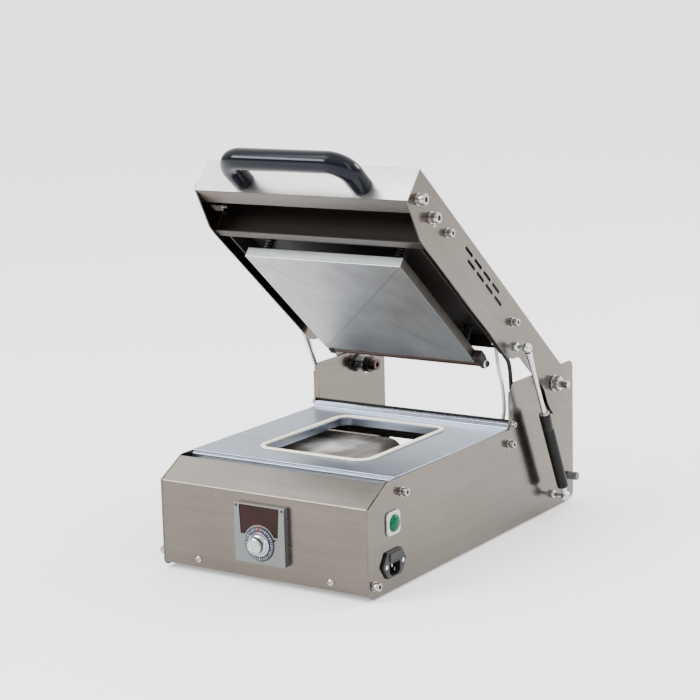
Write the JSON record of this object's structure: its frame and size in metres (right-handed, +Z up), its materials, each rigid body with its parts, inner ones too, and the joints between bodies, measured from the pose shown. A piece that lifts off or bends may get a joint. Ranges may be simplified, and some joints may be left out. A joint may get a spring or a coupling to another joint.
{
  "type": "cup sealing machine",
  "caption": "Bench-top tray and cup sealing machine: steel base, sprung heating plate in a hinged lid on gas struts, bow handle.",
  "frame": {"origin": "on the floor under the feet, at the middle of the overall outline seen from above", "axes": "+X to the machine's right as its user faces the back, +Y from front to back, +Z up"},
  "size_m": [0.357, 0.535, 0.5123],
  "materials": {
    "steel": "brushed, warm grey",
    "steel_dark": "mill finish",
    "aluminium": "satin",
    "heater": "machined",
    "chrome": "polished",
    "zinc": "bright",
    "silicone": "matt cream",
    "rubber": "matt",
    "black_plastic": "fine grain",
    "handle": "gloss",
    "black_steel": "satin",
    "strut_paint": "satin",
    "bezel": "silver",
    "smoked": "smoked brown",
    "dial": "slate with light marks",
    "knob": "turned",
    "lamp_bezel": "light grey",
    "lens": "green",
    "contact": "bright",
    "cable": "satin",
    "sleeve": "translucent grey",
    "cream_plastic": "plain",
    "white_plastic": "plain",
    "rod_brown": "heat-stained"
  },
  "bodies": {
    "base": {"base_side_right": "steel", "base_side_left": "steel", "front_panel": "steel", "floor_pan": "steel_dark", "rear_cover": "steel_dark", "crossbar": "steel", "plate_ledges": "steel_dark", "top_plate": "aluminium", "rear_rail": "aluminium", "rail_trim": "rubber", "seal_ring": "silicone", "inner_cover": "steel_dark", "feet": "rubber", "side_screws": "zinc", "side_nuts": "zinc", "rail_screws": "zinc", "front_screws": "zinc", "thermostat_bezel": "bezel", "thermostat_window": "smoked", "thermostat_case": "black_plastic", "thermostat_pins": "black_plastic", "pilot_body": "lamp_bezel", "pilot_lens": "lens", "inlet_body": "black_plastic", "inlet_pins": "contact", "inlet_screws": "contact", "hinge_bolts": "zinc", "hinge_nuts": "zinc", "hinge_bushes": "black_plastic", "lower_studs": "chrome", "rear_pegs": "rubber", "cable_grommets": "rubber", "terminal_block": "cream_plastic", "lid_cable": "cable", "sensor_tube": "sleeve"},
    "lid": {"lid_side_right": "steel", "lid_side_left": "steel", "lid_hood": "steel", "cross_panel": "steel_dark", "press_frame": "black_steel", "handle": "handle", "handle_screws": "zinc", "lid_screws_large": "zinc", "lid_screws_small": "zinc", "lid_nuts": "zinc", "upper_studs": "chrome", "heater_springs": "zinc"},
    "heater": {"heating_plate": "heater", "heater_cover": "steel_dark", "heater_studs": "zinc", "rear_rod": "rod_brown", "rod_arms": "black_steel", "rod_collars": "white_plastic"},
    "dial": {"dial_skirt": "dial", "dial_knob": "knob"},
    "fuse_holder": {"fuse_drawer": "black_plastic"},
    "strut_cylinder_right": {"strut_tube_right": "strut_paint"},
    "strut_piston_right": {"strut_rod_right": "chrome"},
    "strut_cylinder_left": {"strut_tube_left": "strut_paint"},
    "strut_piston_left": {"strut_rod_left": "chrome"}
  },
  "joints": [
    {"name": "lid_hinge", "type": "hinge", "parent": "base", "child": "lid", "pos_m": [0, 0.206, 0.1734], "axis": [1, 0, 0], "range_deg": [0, 40], "deforming": ["lid_cable", "sensor_tube"]},
    {"name": "heater_float", "type": "slide", "parent": "lid", "child": "heater", "axis": [0, 0.6428, 0.766], "range_m": [0, 0.0163], "deforming": ["heater_springs"]},
    {"name": "strut_swing_right", "type": "hinge", "parent": "base", "child": "strut_cylinder_right", "pos_m": [0.171, 0.2035, 0.023], "axis": [1, 0, 0], "range_deg": [0, 17]},
    {"name": "strut_slide_right", "type": "slide", "parent": "strut_cylinder_right", "child": "strut_piston_right", "axis": [0, -0.4292, 0.9032], "range_m": [-0.0602, 0]},
    {"name": "strut_swing_left", "type": "hinge", "parent": "base", "child": "strut_cylinder_left", "pos_m": [-0.171, 0.2035, 0.023], "axis": [1, 0, 0], "range_deg": [0, 17]},
    {"name": "strut_slide_left", "type": "slide", "parent": "strut_cylinder_left", "child": "strut_piston_left", "axis": [0, -0.4292, 0.9032], "range_m": [-0.0602, 0]},
    {"name": "dial_turn", "type": "hinge", "parent": "base", "child": "dial", "pos_m": [0.002, -0.2545, 0.053], "axis": [0, 1, 0], "range_deg": [0, 300]},
    {"name": "fuse_slide", "type": "slide", "parent": "base", "child": "fuse_holder", "axis": [1, 0, 0], "range_m": [0, 0.027]}
  ],
  "couplings": [
    {"joint": "heater_float", "follows": "lid_hinge", "m_per_rad": 0.023205},
    {"joint": "strut_swing_right", "follows": "lid_hinge", "ratio": 0.42309},
    {"joint": "strut_slide_right", "follows": "lid_hinge", "m_per_rad": -0.08591},
    {"joint": "strut_swing_left", "follows": "lid_hinge", "ratio": 0.42309},
    {"joint": "strut_slide_left", "follows": "lid_hinge", "m_per_rad": -0.08591}
  ]
}
